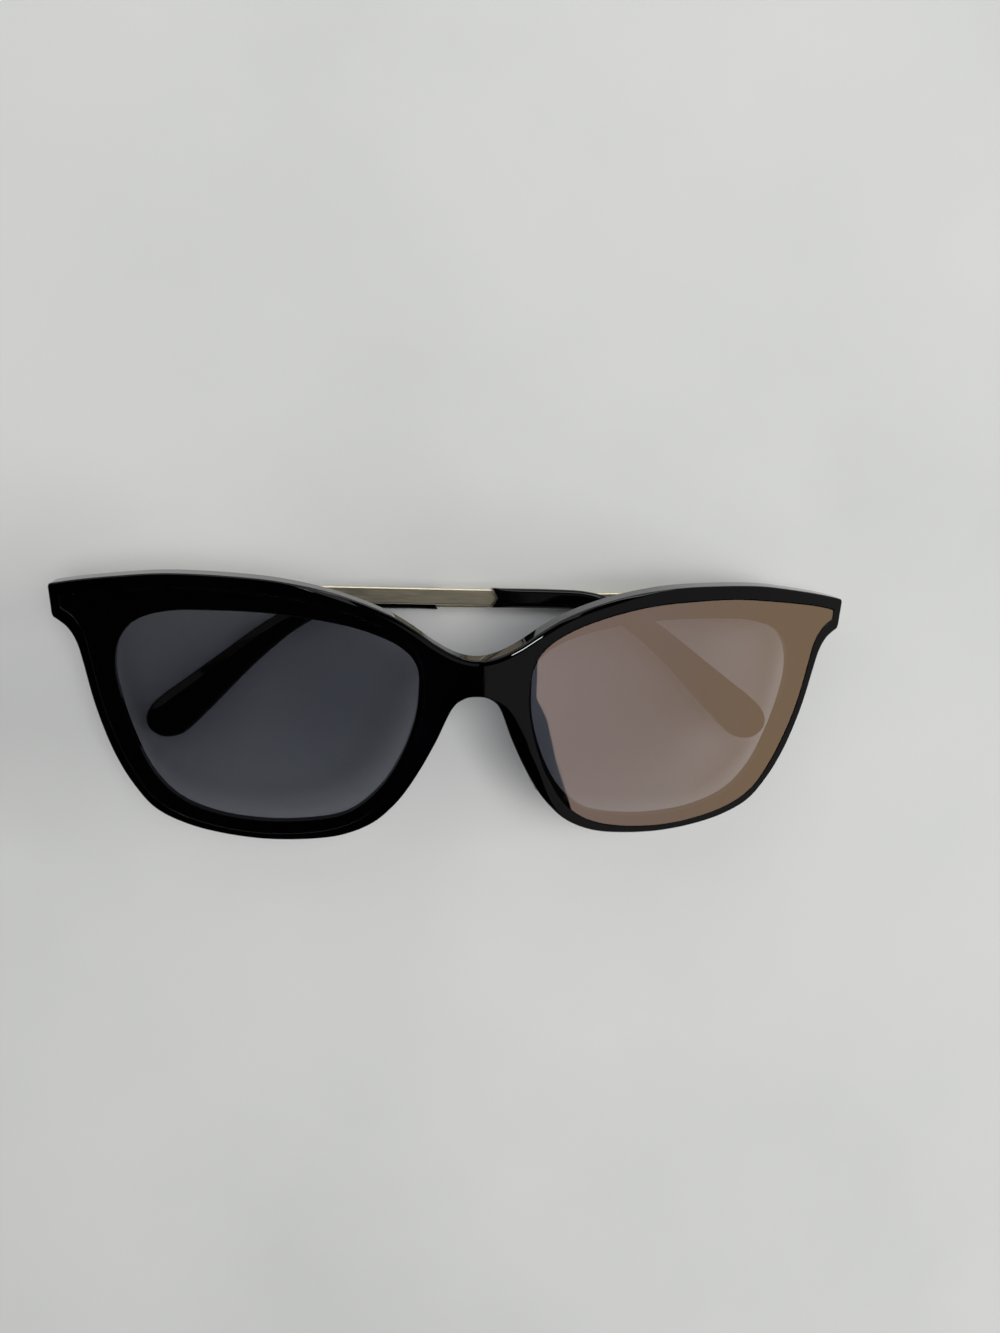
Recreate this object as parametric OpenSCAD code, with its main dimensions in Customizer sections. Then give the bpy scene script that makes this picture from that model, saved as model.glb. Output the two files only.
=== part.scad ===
// Polarized sunglasses, folded and lying face up on the right temple.
// The left and right of the wearer are reversed here: left is the -X side.
// Millimetres, +Z up, origin under the middle of the part on the table.

/* [Front] */
// Width of the front across its two upper corners
front_w = 142; // [136:1:148]
// Height of the front from its lowest to its highest edge
front_h = 46; // [44:1:48]
// Thickness of the front
front_t = 4.1; // [3.8:0.1:4.6]
// Radius of the ball that the front and both lenses follow
curve_r = 178; // [165:1:200]
// Width of the straight stretch of the bridge between the two ball shapes
bridge_flat = 18; // [14:1:18]
// Lean of the front against the temples, bottom edge towards the cheeks
lean = 8; // [6:0.5:9]

/* [Lenses] */
// Thickness of a lens
lens_t = 2; // [1.6:0.1:2.2]
// Glue gap between a lens and its seat
lens_gap = 0.08; // [0.05:0.01:0.12]

/* [Nose pads] */
// How far a nose pad stands out behind the front
pad_depth = 2.9; // [2.4:0.1:3.2]
// Radius of the rounded rear edge of a nose pad
pad_r = 0.95; // [0.8:0.05:1.1]

/* [Temples] */
// Length of a temple from its hinge pin to its end, along the straight arm
temple_l = 126; // [122:1:130]
// Thickness of the metal arm
arm_t = 1.6; // [1.4:0.1:1.8]
// Height of the metal arm along its slim stretch
arm_h = 3; // [2.8:0.1:3.2]
// Height of the metal arm at the hinge
arm_root_h = 5; // [4.6:0.1:5.2]
// Thickness of the plastic temple tip
tip_t = 2.9; // [2.6:0.1:3.2]
// Thickness of the metal core inside the tip
core_t = 1; // [0.8:0.1:1.1]
// Height of the metal core inside the tip
core_h = 1.6; // [1.4:0.1:2]
// Gap between the core and the tip around it
core_gap = 0.05; // [0.03:0.01:0.08]

/* [Hinges] */
// Distance from a hinge pin to the outer face of its arm
pin_inset = 4.5; // [4.3:0.1:5]
// Outer radius of a hinge knuckle
knuckle_r = 1.5; // [1.3:0.1:1.5]
// Height of an outer knuckle
outer_knuckle_h = 1.3; // [1.1:0.1:1.4]
// Height of the middle knuckle
middle_knuckle_h = 1.4; // [1.2:0.1:1.6]
// Radius of the hinge screw's shank
pin_r = 0.6; // [0.5:0.05:0.7]
// Running clearance round the hinge screw
pin_gap = 0.04; // [0.02:0.01:0.08]
// Thickness of a hinge washer
washer_t = 0.15; // [0.1:0.05:0.2]
// Play between a washer and the middle knuckle
washer_gap = 0.02; // [0.01:0.01:0.04]
// Thickness of the hinge plates
plate_t = 0.8; // [0.6:0.1:0.9]
// Clearance between the knuckles and the plate behind them
knuckle_gap = 0.3; // [0.2:0.05:0.4]
// Radius of the shank of a mounting screw
mount_r = 0.45; // [0.35:0.05:0.5]
// Length of a mounting screw in the front
mount_l = 2.6; // [2:0.1:3]

/* [Folding] */
// Angle by which the right temple stops short of lying along the front
fold_short = 4; // [3.5:0.5:4.5]
// Angle by which the left temple folds on past lying along the front
fold_over = 1.5; // [0:0.5:2]
// Angle by which the play in its hinge lets the right temple sag
sag = 0.7; // [0:0.1:0.8]

/* [Hidden] */
ball_fn = 360;
round_fn = 48;
steps = 5;

// Outlines of the right half of the front
top_edge = [
  [0, 10.1], [3.5, 10.8], [7.2, 12.7], [11, 15.3], [15, 17.6], [20, 19.6], [26, 21.3],
  [34, 22.6], [43, 23], [52, 22.8], [60, 21.8], [66, 20.8], [70.2, 19.9]
];
corner_edge = [[70.8, 19.7], [71, 19.2], [70.5, 14.8], [70.2, 14.2]];
lower_edge = [
  [69.6, 13.9], [67.8, 12.6], [66.4, 10.4], [65.4, 7], [64, 1], [62.5, -4], [60.6, -9],
  [58, -13.8], [54.4, -18.2], [49.5, -20.7], [43.5, -22.2], [36, -23], [28.5, -22.8],
  [22.3, -21.8], [17, -19.3], [12.8, -15.2], [9.5, -10.1], [6.6, -4.3], [4.9, -0.1],
  [3.7, 2.2], [2, 3.5], [0, 3.8]
];
lens_edge = [
  [9.1, 3], [9.3, 7.5], [10.4, 10.9], [13.3, 13.8], [17.9, 16.2], [23.9, 18.2], [31, 19.7],
  [39, 20.4], [47, 20.6], [55, 20], [62, 19.2], [65.5, 18.65], [68.5, 17.95], [68.85, 17.7],
  [68.8, 16.3], [68.6, 15.95], [66.7, 14.7], [64.9, 12], [63.9, 8], [62.9, 3.3], [61.7, -1.3],
  [60, -6], [57.8, -10.9], [54.8, -15.6], [50.6, -18.6], [43.9, -20.7], [36, -21.7],
  [28.1, -21.3], [22.2, -19.9], [17.9, -17.3], [14.3, -12.8], [11.6, -7.2], [9.9, -1.8]
];
window_edge = [
  [9.8, 3.6], [10.2, 8.5], [13.4, 12], [19.8, 14.6], [27, 16], [35, 16.8], [44, 16.8],
  [51, 16.3], [56.5, 14.5], [59.6, 10.9], [60.4, 6], [59.5, 0.5], [57.7, -5.5],
  [54.9, -11.8], [50.5, -16.7], [44, -19.4], [36, -20.4], [28, -20], [22.1, -18.7],
  [18.2, -16], [14.9, -12.1], [12.2, -6.9], [10.4, -1.3]
];

// The outlines reach from their outermost corner to its mirror image, and from their highest
// point to their lowest, and are stretched to the front's width and height
sx = front_w / 2 / max([for (q = corner_edge) q[0]]);
sy = front_h / (max([for (q = top_edge) q[1]]) - min([for (q = lower_edge) q[1]]));

// Outline of the temple tip, along the temple from the pin and up
draw_hinge_y = 19;
lift = draw_hinge_y * (sy - 1);
arm_rise = 0.9;
arm_y = draw_hinge_y + arm_rise + lift;
hinge_y = draw_hinge_y + lift;
notch_s = 72.5;
notch_depth = 1;
tip_top = [
  [71.3, 21.7], [84, 21.7], [89.5, 21.4], [94.5, 20.2], [99.5, 18], [104.8, 14.8], [111.5, 9.9],
  [118, 5.1], [122.8, 1.6], [125.1, -0.6], [126, -3], [125.2, -5.2], [122.8, -6.5],
  [119.8, -6.1], [117.2, -4.2], [112.4, 0.6], [106.4, 6.8], [101.2, 11.5], [97.4, 14.4],
  [93.3, 16.6], [89, 17.7], [84, 18.1], [71.3, 18.1]
];
core_path = [
  [71, 19.9], [84, 19.9], [89, 19.5], [93.9, 18.4], [98.4, 16.2], [103, 13], [109, 8.3], [115, 3]
];
slide_l = temple_l - max([for (q = tip_top) q[0]]);

// A smooth curve through points
function bend(a, b, c, d, t) =
  0.5 * (2 * b + (c - a) * t + (2 * a - 5 * b + 4 * c - d) * t * t
    + (3 * b - a - 3 * c + d) * t * t * t);
function smooth(p) = [
  for (i = [0 : len(p) - 2]) for (k = [0 : steps - 1])
    bend(p[max(i - 1, 0)], p[i], p[i + 1], p[min(i + 2, len(p) - 1)], k / steps),
  p[len(p) - 1]
];
function smooth_loop(p) = [
  for (i = [0 : len(p) - 1]) for (k = [0 : steps - 1])
    bend(p[(i + len(p) - 1) % len(p)], p[i], p[(i + 1) % len(p)], p[(i + 2) % len(p)], k / steps)
];
function flipped(p) = [for (i = [len(p) - 1 : -1 : 0]) [-p[i][0], p[i][1]]];
function sized(p) = [for (q = p) [q[0] * sx, q[1] * sy]];
// Points of a clockwise loop moved outwards by d
function grown(p, d) = [
  for (i = [0 : len(p) - 1])
    let (a = p[(i + len(p) - 1) % len(p)], b = p[(i + 1) % len(p)], u = (b - a) / norm(b - a))
      p[i] + d * [-u[1], u[0]]
];
// A band of height h along a path
function band(p, h) = concat(
  [for (i = [0 : len(p) - 1]) p[i] + h / 2 * across(p, i)],
  [for (i = [len(p) - 1 : -1 : 0]) p[i] - h / 2 * across(p, i)]
);
function across(p, i) =
  let (u = p[min(i + 1, len(p) - 1)] - p[max(i - 1, 0)]) [-u[1], u[0]] / norm(u);
function slid(p) = [for (q = p) q + [slide_l, lift]];

top_line = smooth([for (q = concat([for (i = [len(top_edge) - 1 : -1 : 1]) [-top_edge[i][0], top_edge[i][1]]],
  top_edge)) q]);
low_line = smooth(concat(lower_edge, flipped([for (i = [0 : len(lower_edge) - 2]) lower_edge[i]])));
front_line = sized(concat(top_line, corner_edge, low_line, flipped(corner_edge)));
lens_line = sized(smooth_loop(lens_edge));
window_line = sized(smooth_loop(window_edge));

// Places that several pieces share
half_w = front_w / 2;
far = 60;
corner_y = 17 * sy;
corner_run = half_w - bridge_flat / 2;
ball_drop = curve_r - sqrt(pow(curve_r - front_t, 2) - pow(corner_run, 2) - pow(corner_y, 2));
boss_back = corner_y * sin(lean) - ball_drop * cos(lean) + 0.1;
boss_w = 11;
boss_h = 5.2;
pin_x = half_w - pin_inset;
plate_back = boss_back - plate_t;
pin_z = plate_back - knuckle_gap - knuckle_r;
hinge_h = 2 * outer_knuckle_h + middle_knuckle_h + 2 * washer_t + 2 * washer_gap;
plate_w = 7.4;
plate_h = hinge_h;
mount_edge = 1.02;
mount_x = half_w - boss_w + 2.3;
mount_dy = plate_h / 2 - mount_edge;
arm_in = pin_inset - arm_t;
tip_in = pin_inset - tip_t;
root_s = pin_z - boss_back + 0.1;
leaf_l = 9;

// The whole part lies on the outer face of the right temple
lay_z = pin_x * sin(fold_short) - pin_z * cos(fold_short) + pin_inset;
corner_front = curve_r - sqrt(pow(curve_r, 2) - pow(corner_run, 2) - pow(corner_y, 2));
lay_x = (corner_front + ball_drop) / 2 * sin(fold_short) - 0.2;
lay_y = -0.85;

module lay() translate([lay_x, lay_y, lay_z]) rotate([0, fold_short, 0]) children();
module face() rotate([lean, 0, 0]) children();
module side(s) mirror([s < 0 ? 1 : 0, 0, 0]) children();
module folded(s) side(s)
  translate([pin_x, 0, pin_z])
    rotate([0, 90 + (s > 0 ? -fold_short : fold_over), 0])
      translate([0, hinge_y, 0]) rotate([s > 0 ? -sag : 0, 0, 0]) translate([0, -hinge_y, 0])
        children();

// The solid under a surface that follows the front, sunk by d
module under(d) translate([0, 0, -curve_r]) {
  for (s = [-1, 1])
    translate([s * bridge_flat / 2, 0, 0])
      sphere(r = curve_r - d, $fn = ball_fn);
  rotate([0, 90, 0])
    cylinder(r = curve_r - d, h = bridge_flat, center = true, $fn = ball_fn);
}

module through(line, s = 1) side(s)
  translate([0, 0, -far]) linear_extrude(2 * far) polygon(line);

// Plain block from one corner to the other
module block(a, b) translate(a) cube(b - a);

// Front

module corner_boss(s) side(s)
  block([half_w - boss_w, hinge_y - boss_h / 2, boss_back], [half_w + 1, hinge_y + boss_h / 2, 0]);

module front_frame() color([0.02, 0.02, 0.022]) lay() difference() {
  intersection() {
    face() through(front_line);
    face() under(0);
    union() {
      face() difference() {
        translate([-far * 2, -far, -far]) cube([far * 4, far * 2, far * 2]);
        under(front_t);
      }
      for (s = [-1, 1]) corner_boss(s);
    }
  }
  for (s = [-1, 1]) {
    face() difference() {
      through(grown(lens_line, lens_gap), s);
      under(lens_t + lens_gap);
    }
    face() through(window_line, s);
    side(s) for (d = [-1, 1])
      translate([mount_x, hinge_y + d * mount_dy, boss_back - 1])
        cylinder(r = mount_r + 0.02, h = mount_l + 1.1, $fn = round_fn);
    side(s) block([half_w - 4 * boss_w, -far, -far], [half_w + 5, far, boss_back]);
  }
}

// Lenses

module lens(s) color([0.55, 0.45, 0.4, 0.6]) lay() face() intersection() {
  through(lens_line, s);
  difference() {
    under(0);
    under(lens_t);
  }
}

module lens_left() lens(-1);
module lens_right() lens(1);

// Nose pads

// Middle line of a pad behind the rim, and how much shorter its rear edge is at each end
pad_line = sized([[8.1, -3.2], [12.6, -13.8]]);
pad_draw_in = sized([[-0.1, -1], [-0.4, 0.4]]);

module nose_pad(s) color([0.02, 0.02, 0.022]) lay() face() side(s) intersection() {
  under(front_t);
  hull() for (i = [0, 1]) {
    translate([pad_line[i][0], pad_line[i][1], -front_t]) sphere(r = pad_r, $fn = 24);
    translate([pad_line[i][0] + pad_draw_in[i][0], pad_line[i][1] + pad_draw_in[i][1],
      -front_t - pad_depth + pad_r]) sphere(r = pad_r, $fn = 24);
  }
}

module nose_pad_left() nose_pad(-1);
module nose_pad_right() nose_pad(1);

// Hinges

// Heights of the hinge's layers, up from its lowest face
low_top = outer_knuckle_h;
mid_low = low_top + washer_t + washer_gap;
mid_top = mid_low + middle_knuckle_h;
high_low = mid_top + washer_gap + washer_t;

// A ring on the pin from height a to height b
module ring(r, hole, a, b) translate([0, hinge_y - hinge_h / 2 + a, 0])
  rotate([-90, 0, 0]) difference() {
    cylinder(r = r, h = b - a, $fn = round_fn);
    translate([0, 0, -1]) cylinder(r = hole, h = b - a + 2, $fn = round_fn);
  }

module pin_hole(r, a, b) translate([0, hinge_y - hinge_h / 2 + a, 0])
  rotate([-90, 0, 0]) cylinder(r = r, h = b - a, $fn = round_fn);

head_r = pin_r + 0.4;
head_h = 0.5;

module front_hinge(s) color([0.72, 0.7, 0.6]) lay() side(s) difference() {
  union() {
    block([half_w - boss_w + 0.9, hinge_y - plate_h / 2, plate_back],
      [half_w - boss_w + 0.9 + plate_w, hinge_y + plate_h / 2, boss_back]);
    translate([pin_x, 0, pin_z]) for (h = [[0, low_top], [high_low, hinge_h]]) {
      pin_hole(knuckle_r, h[0], h[1]);
      block([-knuckle_r, hinge_y - hinge_h / 2 + h[0], 0],
        [knuckle_r, hinge_y - hinge_h / 2 + h[1], plate_back - pin_z + plate_t / 2]);
    }
  }
  translate([pin_x, 0, pin_z]) {
    pin_hole(pin_r + 0.01, -1, low_top + 0.5);
    pin_hole(pin_r + pin_gap, low_top, hinge_h + 1);
    pin_hole(head_r + 0.05, hinge_h - head_h, hinge_h + 1);
  }
  for (d = [-1, 1])
    translate([mount_x, hinge_y + d * mount_dy, plate_back - 1])
      cylinder(r = mount_r + 0.02, h = plate_t + 2, $fn = round_fn);
}

module front_hinge_left() front_hinge(-1);
module front_hinge_right() front_hinge(1);

module hinge_mount_screws() color([0.72, 0.7, 0.6]) lay()
  for (s = [-1, 1]) side(s) for (d = [-1, 1])
    translate([mount_x, hinge_y + d * mount_dy, plate_back]) difference() {
      union() {
        cylinder(r = mount_r, h = mount_l + plate_t - 0.1, $fn = round_fn);
        translate([0, 0, -0.35]) cylinder(r = mount_r + 0.35, h = 0.35, $fn = round_fn);
      }
      translate([0, 0, -0.35]) cube([2, 0.22, 0.4], center = true);
    }

module hinge_screw(s) color([0.72, 0.7, 0.6]) lay() side(s)
  translate([pin_x, 0, pin_z]) difference() {
    union() {
      pin_hole(pin_r, 0.1, hinge_h - head_h / 2);
      pin_hole(head_r, hinge_h - head_h, hinge_h - 0.05);
    }
    translate([0, hinge_y + hinge_h / 2, 0]) cube([3, 0.45, 0.25], center = true);
  }

module hinge_screw_left() hinge_screw(-1);
module hinge_screw_right() hinge_screw(1);

module hinge_washers(s) color([0.85, 0.83, 0.78]) lay() side(s)
  translate([pin_x, 0, pin_z])
    for (h = [low_top, mid_top + washer_gap])
      ring(knuckle_r - 0.1, pin_r + pin_gap, h, h + washer_t);

module hinge_washers_left() hinge_washers(-1);
module hinge_washers_right() hinge_washers(1);

module temple_hinge(s) color([0.72, 0.7, 0.6]) lay() folded(s) difference() {
  union() {
    pin_hole(knuckle_r, mid_low, mid_top);
    block([0, hinge_y - hinge_h / 2 + mid_low, -knuckle_r - 1.2],
      [arm_in, hinge_y - hinge_h / 2 + mid_top, 0]);
    block([arm_in - plate_t, hinge_y - arm_h / 2, -leaf_l],
      [arm_in, hinge_y + arm_h / 2, -knuckle_r - knuckle_gap]);
  }
  pin_hole(pin_r + pin_gap, mid_low - 1, mid_top + 1);
}

module temple_hinge_left() temple_hinge(-1);
module temple_hinge_right() temple_hinge(1);

// Temples

// A plate cut to an outline drawn along the temple, between two distances from the pin
module plate(line, inner, outer) translate([inner, 0, 0]) rotate([0, 90, 0])
  linear_extrude(outer - inner) polygon(line);

root_half = arm_root_h / 2;
slim_half = arm_h / 2;
notch_end = notch_s + slide_l - 0.1;
arm_top = [
  [root_s, hinge_y + root_half - 0.1], [4, hinge_y + root_half], [15, hinge_y + 0.05 + root_half * 0.9],
  [28, arm_y + slim_half * 1.15], [40, arm_y + slim_half]
];
arm_low = [
  [40, arm_y - slim_half], [28, arm_y - slim_half * 1.2], [15, hinge_y - root_half * 0.86],
  [4, hinge_y - root_half], [root_s, hinge_y - root_half + 0.1]
];
arm_line = concat(
  smooth(arm_top),
  [[notch_end - notch_depth, arm_y + slim_half], [notch_end, arm_y],
    [notch_end - notch_depth, arm_y - slim_half]],
  smooth(arm_low)
);
core_line = smooth(slid(core_path));
core_long = concat(core_line, [core_line[len(core_line) - 1] + [0.25, -0.22]]);

module temple_arm(s) color([0.78, 0.74, 0.6]) lay() folded(s) {
  plate(arm_line, arm_in, pin_inset);
  plate(band(core_line, core_h), arm_in, arm_in + core_t);
}

module temple_arm_left() temple_arm(-1);
module temple_arm_right() temple_arm(1);

module temple_tip(s) color([0.02, 0.02, 0.022]) lay() folded(s) difference() {
  plate(concat(smooth(slid(tip_top)), [[notch_s + slide_l, arm_y]]), tip_in, pin_inset);
  plate(band(core_long, core_h + 2 * core_gap), arm_in - core_gap, arm_in + core_t + core_gap);
}

module temple_tip_left() temple_tip(-1);
module temple_tip_right() temple_tip(1);

front_frame();
lens_left();
lens_right();
nose_pad_left();
nose_pad_right();
front_hinge_left();
front_hinge_right();
hinge_mount_screws();
hinge_screw_left();
hinge_screw_right();
hinge_washers_left();
hinge_washers_right();
temple_hinge_left();
temple_hinge_right();
temple_arm_left();
temple_arm_right();
temple_tip_left();
temple_tip_right();
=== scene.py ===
import math

import bpy
import numpy as np
from mathutils import Matrix, Vector
from mathutils.geometry import delaunay_2d_cdt


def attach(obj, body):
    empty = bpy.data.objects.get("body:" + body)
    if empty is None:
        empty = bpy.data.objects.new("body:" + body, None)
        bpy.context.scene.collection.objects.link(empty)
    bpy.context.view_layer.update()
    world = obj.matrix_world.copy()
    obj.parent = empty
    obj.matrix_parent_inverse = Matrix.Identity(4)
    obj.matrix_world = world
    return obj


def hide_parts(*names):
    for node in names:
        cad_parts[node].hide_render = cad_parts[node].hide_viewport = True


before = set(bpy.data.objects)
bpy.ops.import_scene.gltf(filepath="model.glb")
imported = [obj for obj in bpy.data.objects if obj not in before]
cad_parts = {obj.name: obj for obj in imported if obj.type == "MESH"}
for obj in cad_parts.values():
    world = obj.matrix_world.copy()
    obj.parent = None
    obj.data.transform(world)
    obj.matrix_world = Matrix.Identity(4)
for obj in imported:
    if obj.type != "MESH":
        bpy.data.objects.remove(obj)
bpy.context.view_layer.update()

# Sizes are in millimetres, as in the CAD model, and meshes in metres
MM = 0.001
SIDES = {-1: "left", 1: "right"}

# Front and lenses. Their outer face is part of a ball, and straight across the bridge.
CURVE_R = 178.0
BRIDGE_FLAT = 18.0
FRONT_T = 4.1
LENS_T = 2.0
LENS_GAP = 0.09
LEDGE_DEPTH = LENS_T + LENS_GAP
# The corner blocks start at this depth in the front and end at this height as worn
BOSS_DEPTH = 2.6
BOSS_BACK = -13.793911
# The shine of the +X lens is that of a ball centred this far out, and not at half the flat
# bridge. It turns the lens's normals by about 2.3 degrees and leaves its surface as it is.
LENS_SHINE_X = 16.3

# How the part lies. The front leans by 8 degrees, as worn. The right temple is folded to 4
# degrees short of the front and lies flat on the table, so the front is turned by as much. The
# left temple is folded a little past the front, and the right one hangs down a little on its
# pin. LAY is where the front's origin ends up, above the table.
LEAN = math.radians(8)
FOLD_SHORT = math.radians(4)
FOLD_OVER = math.radians(1.5)
SAG = math.radians(0.7)
LAY = np.array([0.791753, -0.85, 25.492782])

# Temples. Each plate lies between two distances outwards from the pin, and the arm's point
# lies in a notch of the tip.
PIN_X = 66.5
PIN_Z = -16.393911
HINGE_Y = 19.0
ARM_Y = 19.9
ARM_IN = 2.9
ARM_OUT = 4.5
TIP_IN = 1.6
ARM_START = 2.8
ARM_SLIM_AT = 40
ARM_ROOT_HALF = 2.5
ARM_SLIM_HALF = 1.5
ARM_CORNER = 0.1
NOTCH = (72.5, ARM_Y)
NOTCH_DEPTH = 1.0
NOTCH_GAP = 0.12

# Edges. A pair is the width of a rounding and its height, which on the temples' plates is a
# share of the width.
EDGE_ROUND = 0.28
EDGE_ROUND_MOST = 0.7
REAR_ROUND = (0.45, 0.4)
SEAT_ROUND = (0.16, 0.16)
LEDGE_ROUND = (0.2, 0.2)
WINDOW_REAR_ROUND = (0.5, 0.45)
LENS_ROUND = (0.08, 0.08)
LENS_REAR_ROUND = (0.15, 0.15)
BOSS_ROUND = (0.35, 0.35)
ARM_ROUND = 0.3
PLATE_ROUND_SHARE = 0.9
CHAMFER = math.radians(20)
CHAMFER_ROUND = 0.3
CHAMFER_RINGS = 6

# The ear tips round off more behind the arm. A flat facet follows their upper inner edge
# where they bend down. A pair is where it starts to grow and where it is full.
TIP_ROUND = 0.25
TIP_ROUND_MORE = 0.75
TIP_ROUND_GROWS_X = (71, 76)
TIP_OUTER_SHARE = 0.8
FACET_W = 1.6
FACET_LEAN = math.radians(33)
FACET_LOOKS_UP = (0.3, 0.6)
FACET_GROWS_X = (88, 98)
FACET_GROWS_Y = (-3, 1.5)

# The front's bevel is wide beside the nose and along the bridge, flat where it is wide, and
# soft on the -X rim. A pair is where it starts to grow and where it is full, W by its width.
NOSE_BEVEL = 2.1
NOSE_TOP_Y = 3.6
NOSE_END_X = 24
NOSE_GROWS_Y = (-21.5, -9)
NOSE_GROWS_X = (1.8, 6.2)
BRIDGE_BEVEL = 0.95
BRIDGE_FROM_Y = 9
BRIDGE_GROWS_X = (36, 24)
FLAT_GROWS_W = (0.45, 1.15)
SOFT_BELOW_Y = 8
SOFT_GROWS_W = (0.3, 0.6)

# Nose pads: a rib with its foot in the rear of the front and its crest towards the nose, each
# a line from end to end
PAD_R = 0.95
PAD_FOOT = np.array([(8.1, -3.2, -FRONT_T + 0.4), (12.6, -13.8, -FRONT_T + 0.4)])
PAD_CREST = np.array([(8.0, -4.2, -6.05), (12.2, -13.4, -6.05)])

# Outlines of the +X half, as points that a smooth curve goes through
TOP_EDGE = [
    (0, 10.1), (3.5, 10.8), (7.2, 12.7), (11, 15.3), (15, 17.6), (20, 19.6), (26, 21.3),
    (34, 22.6), (43, 23), (52, 22.8), (60, 21.8), (66, 20.8), (70.2, 19.9),
]
CORNER_EDGE = [(70.8, 19.7), (71, 19.2), (70.5, 14.8), (70.2, 14.2)]
LOWER_EDGE = [
    (69.6, 13.9), (67.8, 12.6), (66.4, 10.4), (65.4, 7), (64, 1), (62.5, -4), (60.6, -9),
    (58, -13.8), (54.4, -18.2), (49.5, -20.7), (43.5, -22.2), (36, -23), (28.5, -22.8),
    (22.3, -21.8), (17, -19.3), (12.8, -15.2), (9.5, -10.1), (6.6, -4.3), (4.9, -0.1),
    (3.7, 2.2), (2, 3.5), (0, 3.8),
]
LENS_EDGE = [
    (9.1, 3), (9.3, 7.5), (10.4, 10.9), (13.3, 13.8), (17.9, 16.2), (23.9, 18.2), (31, 19.7),
    (39, 20.4), (47, 20.6), (55, 20), (62, 19.2), (65.5, 18.65), (68.5, 17.95), (68.85, 17.7),
    (68.8, 16.3), (68.6, 15.95), (66.7, 14.7), (64.9, 12), (63.9, 8), (62.9, 3.3), (61.7, -1.3),
    (60, -6), (57.8, -10.9), (54.8, -15.6), (50.6, -18.6), (43.9, -20.7), (36, -21.7),
    (28.1, -21.3), (22.2, -19.9), (17.9, -17.3), (14.3, -12.8), (11.6, -7.2), (9.9, -1.8),
]
WINDOW_EDGE = [
    (9.8, 3.6), (10.2, 8.5), (13.4, 12), (19.8, 14.6), (27, 16), (35, 16.8), (44, 16.8),
    (51, 16.3), (56.5, 14.5), (59.6, 10.9), (60.4, 6), (59.5, 0.5), (57.7, -5.5),
    (54.9, -11.8), (50.5, -16.7), (44, -19.4), (36, -20.4), (28, -20), (22.1, -18.7),
    (18.2, -16), (14.9, -12.1), (12.2, -6.9), (10.4, -1.3),
]
TIP_EDGE = [
    (71.3, 21.7), (84, 21.7), (89.5, 21.4), (94.5, 20.2), (99.5, 18), (104.8, 14.8), (111.5, 9.9),
    (118, 5.1), (122.8, 1.6), (125.1, -0.6), (126, -3), (125.2, -5.2), (122.8, -6.5),
    (119.8, -6.1), (117.2, -4.2), (112.4, 0.6), (106.4, 6.8), (101.2, 11.5), (97.4, 14.4),
    (93.3, 16.6), (89, 17.7), (84, 18.1), (71.3, 18.1),
]
# This one has straight sides
BOSS_EDGE = [
    (60.0, 14.9), (60.0, 20.2), (66, 20.2), (69.8, 19.7), (70.5, 19.1), (70.2, 15.4), (69.8, 14.9),
]

# Stage, in metres
CARD_Z = 0.6
FLOOR_HALF = 3

# The camera fitted to the photograph: place in metres, directions of its right and back
FOCAL_PIXELS = 1000
PHOTO_HEIGHT = 1333
SENSOR = 36
CAMERA_AT = (-0.01238, 0.02814, 0.19362)
CAMERA_RIGHT = (0.9949, 0.0273, 0.0973)
CAMERA_BACK = (-0.0998, 0.1169, 0.9881)


# Curves and loops
def bend(a, b, c, d, t):
    """The point at t from 0 to 1 between b and c, on a smooth curve through all four."""
    return 0.5 * (2 * b + (c - a) * t + (2 * a - 5 * b + 4 * c - d) * t * t
                  + (3 * b - a - 3 * c + d) * t ** 3)


def smooth(points, steps=8, closed=False):
    """A smooth curve through the points, with so many steps between each two."""
    p = np.array(points, float)
    n = len(p)
    out = []
    for i in range(n if closed else n - 1):
        if closed:
            four = p[i - 1], p[i], p[(i + 1) % n], p[(i + 2) % n]
        else:
            four = p[max(i - 1, 0)], p[i], p[i + 1], p[min(i + 2, n - 1)]
        out += [bend(*four, k / steps) for k in range(steps)]
    if not closed:
        out.append(p[-1])
    return np.array(out)


def flip(points):
    """The same outline on the other side, walked the other way."""
    return [(-x, y) for x, y in reversed(points)]


def outward(p):
    """Unit normals of a clockwise loop, pointing out."""
    a, b = np.roll(p, 1, 0), np.roll(p, -1, 0)
    d = b - a
    d /= np.linalg.norm(d, axis=1)[:, None]
    return np.c_[-d[:, 1], d[:, 0]]


def level(directions):
    """Directions in the plane of a loop, as directions in space."""
    return np.c_[directions, np.zeros(len(directions))]


def clockwise(p):
    """The loop walked clockwise, whichever way it ran."""
    area = np.sum(p[:, 0] * np.roll(p[:, 1], -1) - np.roll(p[:, 0], -1) * p[:, 1])
    return p if area < 0 else p[::-1].copy()


def mirrored(p, side):
    """A clockwise loop of the +X half, or its mirror image."""
    return p if side > 0 else clockwise(p * [-1, 1])


def grown(p, distance):
    """The loop moved outwards everywhere."""
    return p + outward(p) * distance


def spread(values, rounds):
    """Evens out a value along a closed loop."""
    for _ in range(rounds):
        values = (np.roll(values, 1) + values * 2 + np.roll(values, -1)) / 4
    return values


def ramp(a, b, v):
    """0 at a and 1 at b, with a smooth rise between them."""
    t = np.clip((np.asarray(v, float) - a) / (b - a), 0, 1)
    return t * t * (3 - 2 * t)


def inside(points, loop):
    """Which of the points lie inside the loop."""
    no_zero = 1e-12
    x, y = points[:, 0][:, None], points[:, 1][:, None]
    ax, ay = loop[:, 0][None], loop[:, 1][None]
    bx, by = np.roll(loop[:, 0], -1)[None], np.roll(loop[:, 1], -1)[None]
    cross = ((ay > y) != (by > y)) & (x < (bx - ax) * (y - ay) / (by - ay + no_zero) + ax)
    return cross.sum(1) % 2 == 1


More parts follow.
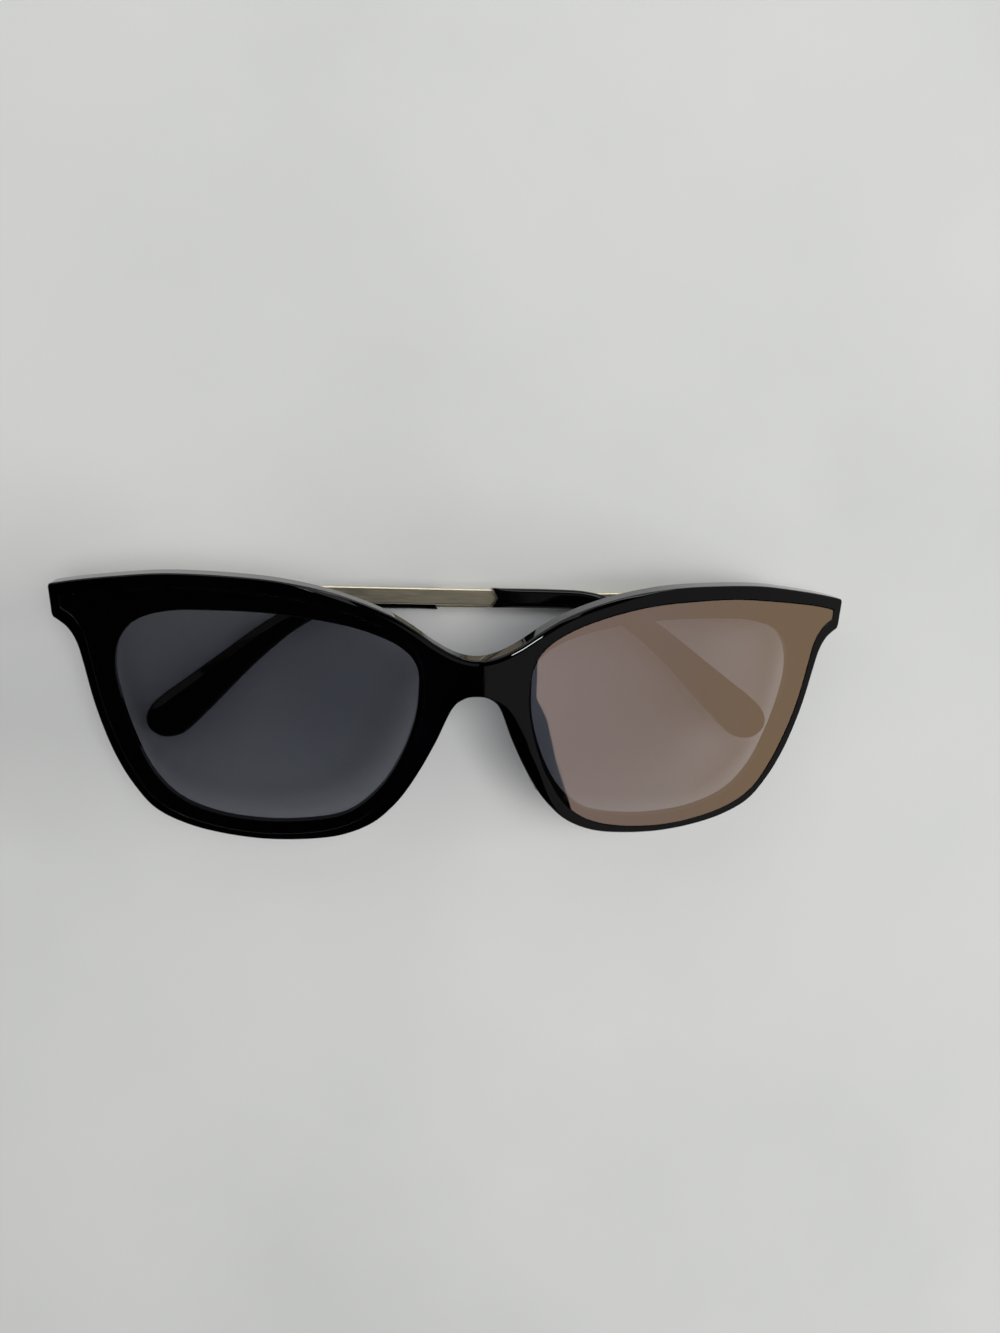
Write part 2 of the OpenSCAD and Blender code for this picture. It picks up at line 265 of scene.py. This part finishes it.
def clear_of(points, loop, gap):
    """Which of the points are further than gap from every point of the loop."""
    batch = 400
    keep = np.ones(len(points), bool)
    for i in range(0, len(points), batch):
        d = np.linalg.norm(points[i:i + batch, None] - loop[None], axis=2).min(1)
        keep[i:i + batch] = d > gap
    return keep


def between(points, loops):
    """Which of the points lie inside the first loop and outside the others."""
    keep = inside(points, loops[0])
    for hole in loops[1:]:
        keep &= ~inside(points, hole)
    return keep


def grid_between(loops, step):
    """The points of a triangular grid that lie between the loops and clear of them."""
    row_step, edge_gap = step * 0.866, step * 0.45
    low, high = loops[0].min(0), loops[0].max(0)
    gx = np.arange(low[0] + step / 3, high[0], step)
    gy = np.arange(low[1] + step / 3, high[1], row_step)
    g = np.array([(x + (k % 2) * step / 2, y) for k, y in enumerate(gy) for x in gx])
    g = g[between(g, loops)]
    for loop in loops:
        g = g[clear_of(g, loop, edge_gap)]
    return g


# Frames
def about_x(a):
    c, s = math.cos(a), math.sin(a)
    return np.array([[1, 0, 0], [0, c, -s], [0, s, c]])


def about_y(a):
    c, s = math.cos(a), math.sin(a)
    return np.array([[c, 0, s], [0, 1, 0], [-s, 0, c]])


def worn_to_row(p):
    """Maps millimetres in the frame of the wearer's face to metres in the row frame."""
    return (np.asarray(p, float) @ about_y(FOLD_SHORT).T + LAY) * MM


def face_to_row(p):
    """Maps millimetres in the frame of the leaning front to metres in the row frame."""
    return worn_to_row(np.asarray(p, float) @ about_x(LEAN).T)


def temple_to_row(side):
    """Maps (outward, up, along) of a temple to the row frame."""
    fold = math.pi / 2 - FOLD_SHORT if side > 0 else math.pi / 2 + FOLD_OVER

    def place(p):
        p = np.array(p, float)
        p[:, 2] *= -1
        if side > 0:
            p = (p - [0, HINGE_Y, 0]) @ about_x(-SAG).T + [0, HINGE_Y, 0]
        p = p @ about_y(fold).T + [PIN_X, 0, PIN_Z]
        p[:, 0] *= side
        return worn_to_row(p)
    return place


def turned(place):
    """The same frame change for directions."""
    def turn(n):
        zero = place(np.zeros((1, 3)))
        d = place(n) - zero
        return d / np.linalg.norm(d, axis=1)[:, None]
    return turn


# The curved face
def surface(x, y, depth=0.0):
    """Height of the front's outer surface, sunk by depth."""
    r = CURVE_R - depth
    dx = np.clip(np.abs(x) - BRIDGE_FLAT / 2, 0, None)
    return np.sqrt(r * r - dx * dx - y * y) - CURVE_R


def surface_normal(x, y, shine_x=None):
    """Unit normals of the front, or of a ball centred at shine_x."""
    if shine_x is None:
        dx = np.sign(x) * np.clip(np.abs(x) - BRIDGE_FLAT / 2, 0, None)
    else:
        dx = x - np.sign(x) * shine_x
    z = surface(x, y) + CURVE_R
    n = np.c_[dx, y, z]
    return n / np.linalg.norm(n, axis=1)[:, None]


def lift_to(depth=0.0, up=1, shine_x=None):
    """Makes the function that puts flat points on the curved face at that depth, with their
    normals. up is -1 for a face that looks down."""
    def lift(p):
        x, y = p[:, 0], p[:, 1]
        return np.c_[p, surface(x, y, depth)], up * surface_normal(x, y, shine_x)
    return lift


# Edge profiles
def edge_profile(share, width, height):
    """A ring of a rounded edge: offset inwards, drop, and how much the normal there has of
    the wall's and of the face's. share 0 is the end on the wall and 1 the end on the face."""
    least = 1e-6
    a = share * math.pi / 2
    c, s = max(math.cos(a), least), max(math.sin(a), least)
    out = c / width
    up = s / height
    size = np.sqrt(out ** 2 + up ** 2)
    return width * (1 - c), height * (1 - s), out / size, up / size


def chamfer_profile(k, width, lean=CHAMFER):
    """The same for ring k of a flat chamfer, with a small round at the wall."""
    slope = math.tan(lean)
    flat = width - CHAMFER_ROUND
    across = math.pi / 2 - lean
    off, drop, tilt = [
        (0, flat * slope + CHAMFER_ROUND, 0),
        (0.05, flat * slope + 0.16, 0.45 * across),
        (0.16, (width - 0.2) * slope + 0.05, 0.85 * across),
        (CHAMFER_ROUND, flat * slope, across),
        (width - 0.12, 0.12 * slope, across),
        (width + 0.03, 0, math.pi / 2),
    ][k]
    return off, drop, math.cos(tilt), math.sin(tilt)


def blended(one, other, share):
    """Two profiles mixed: share 0 is the one and 1 the other."""
    return [a * (1 - share) + b * share for a, b in zip(one, other)]


def column(v):
    """A number, or a list of one number for each point, that multiplies rows of points."""
    return np.asarray(v, float).reshape(-1, 1)


# Meshes
class Skin:
    """Collects vertices with their normals, and faces, then makes an object."""

    def __init__(self):
        self.points, self.normals, self.faces, self.slots = [], [], [], []
        self.count = 0

    def add(self, points, normals):
        first = self.count
        self.points.append(np.asarray(points, float))
        self.normals.append(np.asarray(normals, float))
        self.count += len(points)
        return np.arange(first, self.count)

    def strip(self, a, b, slot=0):
        """Quads between two closed loops of the same count."""
        n = len(a)
        for i in range(n):
            j = (i + 1) % n
            self.faces.append((a[i], a[j], b[j], b[i]))
            self.slots.append(slot)

    def tube(self, rings, slot=0):
        """Quads from each ring to the next."""
        for a, b in zip(rings, rings[1:]):
            self.strip(a, b, slot)

    def cap(self, ring):
        self.faces.append(tuple(ring))
        self.slots.append(0)

    def rounded(self, loop, rings, rounding, depth=0.0, hole=False, up=1, shine_x=None, slot=0):
        """Rings of (indices, flat points) that lead round an edge, from the wall along the
        loop onto the curved face at that depth. A hole has its wall on the inner side, and up
        is -1 for a face that looks down."""
        way = -outward(loop) if hole else outward(loop)
        wall = level(way)
        made = []
        for k in range(rings):
            off, drop, of_wall, of_face = edge_profile(k / (rings - 1), *rounding)
            p = loop - way * off
            places, normals = lift_to(depth, up, shine_x)(p)
            places[:, 2] -= up * drop
            made.append((self.add(places, wall * of_wall + normals * of_face), p))
        self.tube([i for i, _ in made], slot)
        return made

    def fill(self, loops, lift=None, grid=0, slot=0):
        """Triangles between loops of (indices, flat points). The first is the outer one.
        Where a grid is given, points that far apart are lifted into the face."""
        flat = [p for _, p in loops]
        index = np.concatenate([i for i, _ in loops])
        inner = grid_between(flat, grid) if grid else np.zeros((0, 2))
        if len(inner):
            index = np.concatenate([index, self.add(*lift(inner))])
        edges, start = [], 0
        for loop in flat:
            n = len(loop)
            edges += [(start + i, start + (i + 1) % n) for i in range(n)]
            start += n
        tolerance = 1e-6
        verts, _, faces, source, _, _ = delaunay_2d_cdt(
            [Vector(v) for v in np.concatenate(flat + [inner])], edges, [], 0, tolerance)
        verts = np.array([tuple(v) for v in verts])
        middle = np.array([verts[list(f)].mean(0) for f in faces])
        for f, keep in zip(faces, between(middle, flat)):
            if keep and all(source[v] for v in f):
                self.faces.append(tuple(index[source[v][0]] for v in f))
                self.slots.append(slot)

    def make(self, name, place):
        """The object, with every face turned the way that its normals point."""
        points = place(np.concatenate(self.points))
        normals = turned(place)(np.concatenate(self.normals))
        mesh = bpy.data.meshes.new(name)
        mesh.from_pydata([tuple(p) for p in points], [],
                         [tuple(int(i) for i in f) for f in self.faces])
        mesh.polygons.foreach_set("material_index", self.slots)
        mesh.polygons.foreach_set("use_smooth", [True] * len(self.faces))
        facing = np.zeros(len(mesh.polygons) * 3)
        mesh.polygons.foreach_get("normal", facing)
        facing = facing.reshape(-1, 3)
        wrong = [i for i, p in enumerate(mesh.polygons)
                 if facing[i] @ normals[list(p.vertices)].sum(0) < 0]
        for i in wrong:
            mesh.polygons[i].flip()
        mesh.update()
        mesh.normals_split_custom_set_from_vertices([tuple(n) for n in normals])
        mesh.validate()
        obj = bpy.data.objects.new(name, mesh)
        bpy.context.scene.collection.objects.link(obj)
        return obj


# The front
def front_outline():
    top = smooth(flip(TOP_EDGE)[:-1] + TOP_EDGE)
    low = smooth(LOWER_EDGE[:-1] + flip(LOWER_EDGE))
    return clockwise(np.concatenate([top, CORNER_EDGE, low, flip(CORNER_EDGE)]))


LENS_LOOP = clockwise(smooth(LENS_EDGE, closed=True))
WINDOW_LOOP = clockwise(smooth(WINDOW_EDGE, closed=True))


def front_bevel(outline):
    """Width of the outer bevel at each point, how far it is a flat chamfer and not a
    rounding, and how much of its own slope it shows."""
    x, y = outline[:, 0], outline[:, 1]
    ax = np.abs(x)
    nose = (y < NOSE_TOP_Y) & (ax < NOSE_END_X)
    nose_w = np.where(nose, NOSE_BEVEL * ramp(*NOSE_GROWS_Y, y) * ramp(*NOSE_GROWS_X, ax), 0)
    bridge_w = np.where(y > BRIDGE_FROM_Y, BRIDGE_BEVEL * ramp(*BRIDGE_GROWS_X, ax), 0)
    width = np.maximum(spread(np.maximum(nose_w, bridge_w), rounds=10), EDGE_ROUND)
    flat = ramp(*FLAT_GROWS_W, width)
    # On the -X rim the chamfer takes the shine of the face
    shown = 1 - np.where((y < SOFT_BELOW_Y) & (x < 0), ramp(*SOFT_GROWS_W, width), 0)
    return width, flat, shown


def bevelled_edge(skin, outline):
    """The rings from the wall onto the outer face, as rounded gives them."""
    width, flat, shown = front_bevel(outline)
    round_w = np.minimum(width, EDGE_ROUND_MOST)
    wall = level(outward(outline))
    rings = []
    for k in range(CHAMFER_RINGS):
        share = k / (CHAMFER_RINGS - 1)
        off, drop, of_wall, of_face = blended(edge_profile(share, round_w, round_w),
                                              chamfer_profile(k, width), flat)
        if k > 1:
            of_wall = of_wall * shown
        p = outline - outward(outline) * column(off)
        places, normals = lift_to()(p)
        places[:, 2] -= drop
        normals = wall * column(of_wall) + normals * column(of_face)
        rings.append((skin.add(places, normals), p))
    skin.tube([i for i, _ in rings])
    return rings


def lens_seat(skin, side):
    """The recess for a lens, its ledge and the window through it. Gives the outer ring of the
    recess on the face, and that of the window at the rear."""
    seat = mirrored(grown(LENS_LOOP, LENS_GAP), side)
    window = mirrored(WINDOW_LOOP, side)
    rim = skin.rounded(seat, 4, SEAT_ROUND, hole=True)
    places, normals = lift_to(LEDGE_DEPTH)(seat)
    skin.strip(rim[0][0], skin.add(places, level(-outward(seat))))
    ledge = skin.add(places, normals)
    lip = skin.rounded(window, 4, LEDGE_ROUND, LEDGE_DEPTH, hole=True)
    skin.fill([(ledge, seat), lip[-1]], lift_to(LEDGE_DEPTH), grid=1.6)
    rear = skin.rounded(window, 5, WINDOW_REAR_ROUND, FRONT_T, hole=True, up=-1)
    skin.strip(lip[0][0], rear[0][0])
    return rim[-1], rear[-1]


def build_front():
    """The moulding with both rims and the bridge."""
    skin = Skin()
    outline = front_outline()
    outer = bevelled_edge(skin, outline)
    rear = skin.rounded(outline, 5, REAR_ROUND, FRONT_T, up=-1)
    skin.strip(outer[0][0], rear[0][0])
    seats, windows = zip(*[lens_seat(skin, side) for side in SIDES])
    skin.fill([outer[-1], *seats], lift_to(), grid=1.5)
    skin.fill([rear[-1], *windows], lift_to(FRONT_T, up=-1), grid=1.8)
    return skin.make("front_moulding", face_to_row)


def build_boss(side):
    """The thick corner behind the front that carries the hinge. Its back stands upright as
    worn, so it is slanted in the leaning front."""
    p = mirrored(clockwise(np.array(BOSS_EDGE)), side)
    wall = level(outward(p))
    down = np.array([0, 0, -1])
    skin = Skin()
    rings = [skin.add(np.c_[p, surface(p[:, 0], p[:, 1], BOSS_DEPTH)], wall)]
    for k in range(4):
        off, drop, of_wall, of_face = edge_profile(k / 3, *BOSS_ROUND)
        q = p - outward(p) * off
        back = (BOSS_BACK - q[:, 1] * math.sin(LEAN)) / math.cos(LEAN)
        rings.append(skin.add(np.c_[q, back + drop], wall * of_wall + down * of_face))
    skin.tube(rings)
    skin.fill([(rings[-1], q)])
    return skin.make("corner_block_" + SIDES[side], face_to_row)


def build_lens(side):
    """A lens with its mirror coat on the outer face, slot 0, and its body in slot 1."""
    skin = Skin()
    shine_x = LENS_SHINE_X if side > 0 else None
    edge = mirrored(LENS_LOOP, side)
    outer = skin.rounded(edge, 4, LENS_ROUND, shine_x=shine_x, slot=1)
    rear = skin.rounded(edge, 4, LENS_REAR_ROUND, LENS_T, up=-1, slot=1)
    skin.strip(outer[0][0], rear[0][0], 1)
    skin.fill([outer[-1]], lift_to(shine_x=shine_x), grid=2.0)
    skin.fill([rear[-1]], lift_to(LENS_T, up=-1), grid=2.0, slot=1)
    return skin.make("coated_lens_" + SIDES[side], face_to_row)


def build_pad(side):
    """A nose pad: a rib whose section is a stadium, with round ends."""
    steps, turns = 42, 28
    end_share = 0.1
    # Keeps the first and the last ring from shrinking to a point
    least = 0.0004
    along = (PAD_FOOT[1] - PAD_FOOT[0]) / np.linalg.norm(PAD_FOOT[1] - PAD_FOOT[0])
    skin = Skin()
    rings = []
    for k in range(steps + 1):
        # Where u is below 0 or above 1, past the ends of the lines, the rib rounds off
        u = k / steps * (1 + 2 * end_share) - end_share
        t = min(max(u, 0), 1)
        past = (u - t) / end_share
        full = math.sqrt(max(1 - past * past, least))
        shift = along * PAD_R * past
        foot = PAD_FOOT[0] + (PAD_FOOT[1] - PAD_FOOT[0]) * t + shift
        crest = PAD_CREST[0] + (PAD_CREST[1] - PAD_CREST[0]) * t + shift
        axis = crest - foot
        axis /= np.linalg.norm(axis)
        wide = np.cross(along, axis)
        wide /= np.linalg.norm(wide)
        points, normals = [], []
        for j in range(turns):
            angle = 2 * math.pi * j / turns
            d = math.cos(angle) * axis + math.sin(angle) * wide
            centre = crest if math.cos(angle) >= 0 else foot
            points.append(centre + d * (PAD_R * full))
            normals.append(d * full + along * past)
        mirror = [side, 1, 1]
        rings.append(skin.add(np.array(points) * mirror, np.array(normals) * mirror))
    skin.tube(rings)
    skin.cap(rings[0])
    skin.cap(rings[-1])
    return skin.make("nose_rest_" + SIDES[side], face_to_row)


# The temples
def build_plate(name, side, line, low, high, round_in, round_out, facet=None):
    """A flat piece of a temple between two distances from the pin, with rounded edges.
    facet is how far along the outline the inner edge is cut by a flat facet instead."""
    skin = Skin()
    out = outward(line)
    wall = np.c_[np.zeros(len(line)), out[:, 1], out[:, 0]]
    ends = []
    for w, sign, size in ((low, -1, round_in), (high, 1, round_out)):
        size = np.broadcast_to(np.asarray(size, float), len(line))
        rings = []
        for k in range(CHAMFER_RINGS):
            share = k / (CHAMFER_RINGS - 1)
            profile = edge_profile(share, size, size * PLATE_ROUND_SHARE)
            if sign < 0 and facet is not None:
                profile = blended(profile, chamfer_profile(k, FACET_W, FACET_LEAN), facet)
            off, drop, of_wall, of_face = profile
            p = line - out * column(off)
            normals = wall * column(of_wall) + np.array([sign, 0, 0]) * column(of_face)
            rings.append((skin.add(np.c_[w - sign * drop, p[:, 1], p[:, 0]], normals), p))
        skin.tube([i for i, _ in rings])
        skin.fill([rings[-1]])
        ends.append(rings[0][0])
    skin.strip(*ends)
    return skin.make(name, temple_to_row(side))


def build_arm(side):
    """The metal arm: deep at the hinge, slim from ARM_SLIM_AT on, and pointed at the tip."""
    root, slim = ARM_ROOT_HALF, ARM_SLIM_HALF
    start, corner = ARM_START - ARM_CORNER, ARM_CORNER
    top = smooth([(start, HINGE_Y + root - corner), (4, HINGE_Y + root),
                  (15, HINGE_Y + 0.05 + root * 0.9), (28, ARM_Y + slim * 1.15),
                  (ARM_SLIM_AT, ARM_Y + slim)])
    low = smooth([(ARM_SLIM_AT, ARM_Y - slim), (28, ARM_Y - slim * 1.2),
                  (15, HINGE_Y - root * 0.86), (4, HINGE_Y - root),
                  (start, HINGE_Y - root + corner)])
    end = NOTCH[0] - NOTCH_GAP
    point = [(end - NOTCH_DEPTH, ARM_Y + slim), (end, ARM_Y), (end - NOTCH_DEPTH, ARM_Y - slim)]
    line = clockwise(np.concatenate([top, point, low]))
    return build_plate("arm_" + SIDES[side], side, line, ARM_IN, ARM_OUT, ARM_ROUND, ARM_ROUND)


def build_tip(side):
    """The plastic ear tip, with a facet along the upper inner edge of its bent part."""
    line = clockwise(np.concatenate([smooth(TIP_EDGE, 6), [NOTCH]]))
    x, y = line[:, 0], line[:, 1]
    rim = TIP_ROUND + TIP_ROUND_MORE * ramp(*TIP_ROUND_GROWS_X, x)
    looks_up = ramp(*FACET_LOOKS_UP, spread(outward(line)[:, 1], rounds=6))
    facet = looks_up * ramp(*FACET_GROWS_X, x) * ramp(*FACET_GROWS_Y, y)
    return build_plate("ear_tip_" + SIDES[side], side, line, TIP_IN, ARM_OUT,
                       rim, rim * TIP_OUTER_SHARE, facet)


# Materials
def material(name):
    m = bpy.data.materials.new(name)
    m.use_nodes = True
    nodes, links = m.node_tree.nodes, m.node_tree.links
    return m, nodes, links, nodes["Principled BSDF"]


def noise(nodes, links, scale, detail=3.0, stretch=None):
    """Noise in the row frame, so many times finer than a metre."""
    where = nodes.new("ShaderNodeTexCoord")
    tex = nodes.new("ShaderNodeTexNoise")
    tex.inputs["Scale"].default_value = scale
    tex.inputs["Detail"].default_value = detail
    if stretch:
        mapping = nodes.new("ShaderNodeMapping")
        mapping.inputs["Scale"].default_value = stretch
        links.new(where.outputs["Object"], mapping.inputs["Vector"])
        links.new(mapping.outputs["Vector"], tex.inputs["Vector"])
    else:
        links.new(where.outputs["Object"], tex.inputs["Vector"])
    return tex.outputs["Fac"]


def colours(nodes, links, source, stops):
    """A colour ramp with stops of (place, colour)."""
    r = nodes.new("ShaderNodeValToRGB")
    r.color_ramp.elements.remove(r.color_ramp.elements[1])
    for i, (at, c) in enumerate(stops):
        e = r.color_ramp.elements[0] if i == 0 else r.color_ramp.elements.new(at)
        e.position = at
        e.color = (*c, 1)
    links.new(source, r.inputs["Fac"])
    return r.outputs["Color"]


def map_range(nodes, links, source, low, high, a=0.3, b=0.7):
    """The source from a to b, mapped to low to high."""
    r = nodes.new("ShaderNodeMapRange")
    r.inputs["From Min"].default_value = a
    r.inputs["From Max"].default_value = b
    r.inputs["To Min"].default_value = low
    r.inputs["To Max"].default_value = high
    links.new(source, r.inputs["Value"])
    return r.outputs["Result"]


def bump(nodes, links, source, strength, distance):
    b = nodes.new("ShaderNodeBump")
    b.inputs["Strength"].default_value = strength
    b.inputs["Distance"].default_value = distance
    links.new(source, b.inputs["Height"])
    return b.outputs["Normal"]


def gloss_black(name, low=0.012, high=0.035, ior=1.385):
    """Black plastic, with its roughness between low and high."""
    m, nodes, links, bsdf = material(name)
    links.new(colours(nodes, links, noise(nodes, links, 60), [
        (0.35, (0.0004, 0.0003, 0.0006)), (0.65, (0.0008, 0.0006, 0.0011))]),
        bsdf.inputs["Base Color"])
    links.new(map_range(nodes, links, noise(nodes, links, 900, 4), low, high),
              bsdf.inputs["Roughness"])
    bsdf.inputs["IOR"].default_value = ior
    return m


def mirror_coat():
    """A half clear mirror, rose by the bridge and gold towards the corners."""
    m, nodes, links, bsdf = material("rose_mirror_coat")
    where = nodes.new("ShaderNodeTexCoord")
    split = nodes.new("ShaderNodeSeparateXYZ")
    links.new(where.outputs["Object"], split.inputs[0])
    from_bridge = nodes.new("ShaderNodeMath")
    from_bridge.operation = "ABSOLUTE"
    links.new(split.outputs["X"], from_bridge.inputs[0])
    drift = nodes.new("ShaderNodeMath")
    drift.operation = "MULTIPLY_ADD"
    links.new(noise(nodes, links, 26, 2), drift.inputs[0])
    drift.inputs[1].default_value = 0.02
    links.new(from_bridge.outputs[0], drift.inputs[2])
    links.new(colours(nodes, links, map_range(nodes, links, drift.outputs[0], 0, 1, 0.02, 0.08), [
        (0.0, (0.84, 0.62, 0.54)), (0.45, (0.80, 0.58, 0.45)), (0.8, (0.84, 0.58, 0.38))]),
        bsdf.inputs["Base Color"])
    links.new(map_range(nodes, links, noise(nodes, links, 500, 3), 0.015, 0.04),
              bsdf.inputs["Roughness"])
    bsdf.inputs["Metallic"].default_value = 1
    bsdf.inputs["Alpha"].default_value = 0.6
    return m


def lens_body():
    """Clear grey plastic: mostly a tinted pane, with a little gloss of its own."""
    m, nodes, links, bsdf = material("grey_lens_body")
    tint = noise(nodes, links, 30, 2)
    links.new(colours(nodes, links, tint, [
        (0.3, (0.004, 0.005, 0.007)), (0.7, (0.006, 0.007, 0.009))]), bsdf.inputs["Base Color"])
    links.new(map_range(nodes, links, noise(nodes, links, 700, 3), 0.02, 0.05),
              bsdf.inputs["Roughness"])
    clear = nodes.new("ShaderNodeBsdfTransparent")
    links.new(colours(nodes, links, tint, [
        (0.3, (0.6, 0.63, 0.73)), (0.7, (0.62, 0.65, 0.75))]), clear.inputs["Color"])
    mix = nodes.new("ShaderNodeMixShader")
    mix.inputs["Fac"].default_value = 0.12
    links.new(clear.outputs[0], mix.inputs[1])
    links.new(bsdf.outputs[0], mix.inputs[2])
    links.new(mix.outputs[0], nodes["Material Output"].inputs["Surface"])
    return m


def plated(name, colour, low, high, stretch=None):
    """Plated metal with a fine grain, which stretch can draw out along an axis."""
    m, nodes, links, bsdf = material(name)
    grain = noise(nodes, links, 220, 4, stretch)
    darker = tuple(c * 0.9 for c in colour)
    links.new(colours(nodes, links, grain, [(0.3, darker), (0.7, colour)]),
              bsdf.inputs["Base Color"])
    links.new(map_range(nodes, links, grain, low, high), bsdf.inputs["Roughness"])
    links.new(bump(nodes, links, grain, 0.25, 0.00002), bsdf.inputs["Normal"])
    bsdf.inputs["Metallic"].default_value = 1
    return m


def nylon():
    m, nodes, links, bsdf = material("washer_nylon")
    links.new(colours(nodes, links, noise(nodes, links, 800), [
        (0.3, (0.74, 0.72, 0.66)), (0.7, (0.8, 0.78, 0.73))]), bsdf.inputs["Base Color"])
    bsdf.inputs["Roughness"].default_value = 0.45
    return m


def table_top():
    m, nodes, links, bsdf = material("table_top")
    links.new(colours(nodes, links, noise(nodes, links, 9, 5), [
        (0.3, (0.58, 0.59, 0.58)), (0.5, (0.63, 0.64, 0.63)), (0.7, (0.67, 0.67, 0.66))]),
        bsdf.inputs["Base Color"])
    bsdf.inputs["Roughness"].default_value = 0.55
    return m


def glow(name, strength, colour):
    m = bpy.data.materials.new(name)
    m.use_nodes = True
    nodes, links = m.node_tree.nodes, m.node_tree.links
    nodes.clear()
    e = nodes.new("ShaderNodeEmission")
    e.inputs["Color"].default_value = (*colour, 1)
    e.inputs["Strength"].default_value = strength
    out = nodes.new("ShaderNodeOutputMaterial")
    links.new(e.outputs[0], out.inputs["Surface"])
    return m


def dress(obj, *mats):
    """Fills the material slots of a piece or of a CAD node, and adds those it lacks."""
    for i, m in enumerate(mats):
        if i < len(obj.material_slots):
            obj.material_slots[i].material = m
        else:
            obj.data.materials.append(m)


# Pieces
black = gloss_black("black_moulding")
tip_black = gloss_black("black_tip_plastic", 0.05, 0.12, 1.28)
gold = plated("pale_gold_plating", (0.84, 0.76, 0.58), 0.34, 0.44, (1, 14, 14))
steel = plated("gilt_hinge_metal", (0.72, 0.68, 0.57), 0.2, 0.34)
coat = mirror_coat()
body = lens_body()
white = nylon()

front = build_front()
dress(front, black)
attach(front, "front")
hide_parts("front_frame")

for side, word in SIDES.items():
    block = build_boss(side)
    dress(block, black)
    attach(block, "front")

    lens = build_lens(side)
    dress(lens, coat, body)
    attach(lens, "front")
    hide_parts("lens_" + word)

    pad = build_pad(side)
    dress(pad, black)
    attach(pad, "front")
    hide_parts("nose_pad_" + word)

    arm = build_arm(side)
    dress(arm, gold)
    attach(arm, "temple_" + word)
    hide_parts("temple_arm_" + word)

    tip = build_tip(side)
    dress(tip, tip_black)
    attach(tip, "temple_" + word)
    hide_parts("temple_tip_" + word)

for name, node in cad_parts.items():
    if "hinge" in name or "screw" in name:
        dress(node, white if "washer" in name else steel)


# Stage
def sheet(name, corners, height, mat):
    """A flat sheet of the stage, at a height in metres."""
    mesh = bpy.data.meshes.new(name)
    mesh.from_pydata([(x, y, height) for x, y in corners], [], [tuple(range(len(corners)))])
    mesh.materials.append(mat)
    obj = bpy.data.objects.new(name, mesh)
    bpy.context.scene.collection.objects.link(obj)
    return obj


def pale_panel(name, corners, mat):
    """A glowing sheet for the part to mirror. The camera doesn't see it."""
    panel = sheet(name, corners, CARD_Z, mat)
    panel.visible_camera = False
    panel.visible_shadow = False


def lamp(name, where, size, power, lights=True, shines=True):
    """An area lamp aimed at the part. One that only lights isn't mirrored, and one that
    only shines is seen in the gloss alone."""
    data = bpy.data.lights.new(name, "AREA")
    data.shape = "RECTANGLE"
    data.size, data.size_y = size
    data.energy = power
    obj = bpy.data.objects.new(name, data)
    bpy.context.scene.collection.objects.link(obj)
    obj.location = where
    obj.rotation_euler = (-Vector(where)).to_track_quat("-Z", "Y").to_euler()
    obj.visible_camera = False
    obj.visible_diffuse = lights
    obj.visible_glossy = shines


def room():
    """A plain room that is light low down and dark overhead, along a slanted axis."""
    world = bpy.data.worlds.new("room")
    bpy.context.scene.world = world
    world.use_nodes = True
    nodes, links = world.node_tree.nodes, world.node_tree.links
    where = nodes.new("ShaderNodeTexCoord")
    rise = nodes.new("ShaderNodeVectorMath")
    rise.operation = "DOT_PRODUCT"
    rise.inputs[1].default_value = (-0.45, -0.2, 1)
    links.new(where.outputs["Generated"], rise.inputs[0])
    strength = map_range(nodes, links, rise.outputs["Value"], 0.38, 0.001, 0.12, 0.45)
    nodes["Background"].inputs["Color"].default_value = (1, 1, 1, 1)
    links.new(strength, nodes["Background"].inputs["Strength"])


def photo_camera():
    """The camera of the photograph, whose focal length is known in pixels."""
    data = bpy.data.cameras.new("camera")
    data.sensor_width = SENSOR
    data.lens = FOCAL_PIXELS / PHOTO_HEIGHT * SENSOR
    data.clip_start, data.clip_end = 0.005, 20
    camera = bpy.data.objects.new("camera", data)
    bpy.context.scene.collection.objects.link(camera)
    back = Vector(CAMERA_BACK).normalized()
    up = back.cross(Vector(CAMERA_RIGHT).normalized()).normalized()
    turn = Matrix((up.cross(back), up, back)).transposed().to_4x4()
    camera.matrix_world = Matrix.Translation(CAMERA_AT) @ turn
    bpy.context.scene.camera = camera


sheet("table", [(-FLOOR_HALF, -FLOOR_HALF), (FLOOR_HALF, -FLOOR_HALF), (FLOOR_HALF, FLOOR_HALF),
                (-FLOOR_HALF, FLOOR_HALF)], 0, table_top())
# The long side of the ceiling panel is the light's border across the bridge and the +X lens
pale_panel("pale_ceiling", [
    (0.13, 0.3), (0.136, -0.165), (0.138, -0.196), (0.14, -0.233), (0.15, -0.25), (0.168, -0.284),
    (0.202, -0.391), (0.266, -0.548), (0.36, -0.8), (0.55, -1.3), (2.6, -1.3), (2.6, 0.3)],
    glow("ceiling_light", 0.335, (1.0, 0.98, 0.955)))
pale_panel("pale_wall", [(-1.6, 0.34), (0.1, 0.34), (0.1, 1.6), (-1.6, 1.6)],
           glow("wall_light", 0.9, (1.0, 0.99, 0.98)))
lamp("key", (1.3, -0.1, 0.55), (0.9, 0.5), 14, shines=False)
lamp("fill", (0.25, 0.12, 1.5), (0.8, 0.7), 13.5, shines=False)
lamp("far", (-0.1, 1.3, 0.7), (1.8, 0.35), 10, lights=False)
lamp("glint", (-0.157, 0.54, 1.4), (0.084, 0.04), 0.32, lights=False)
room()
photo_camera()
bpy.context.scene.view_settings.view_transform = "Standard"
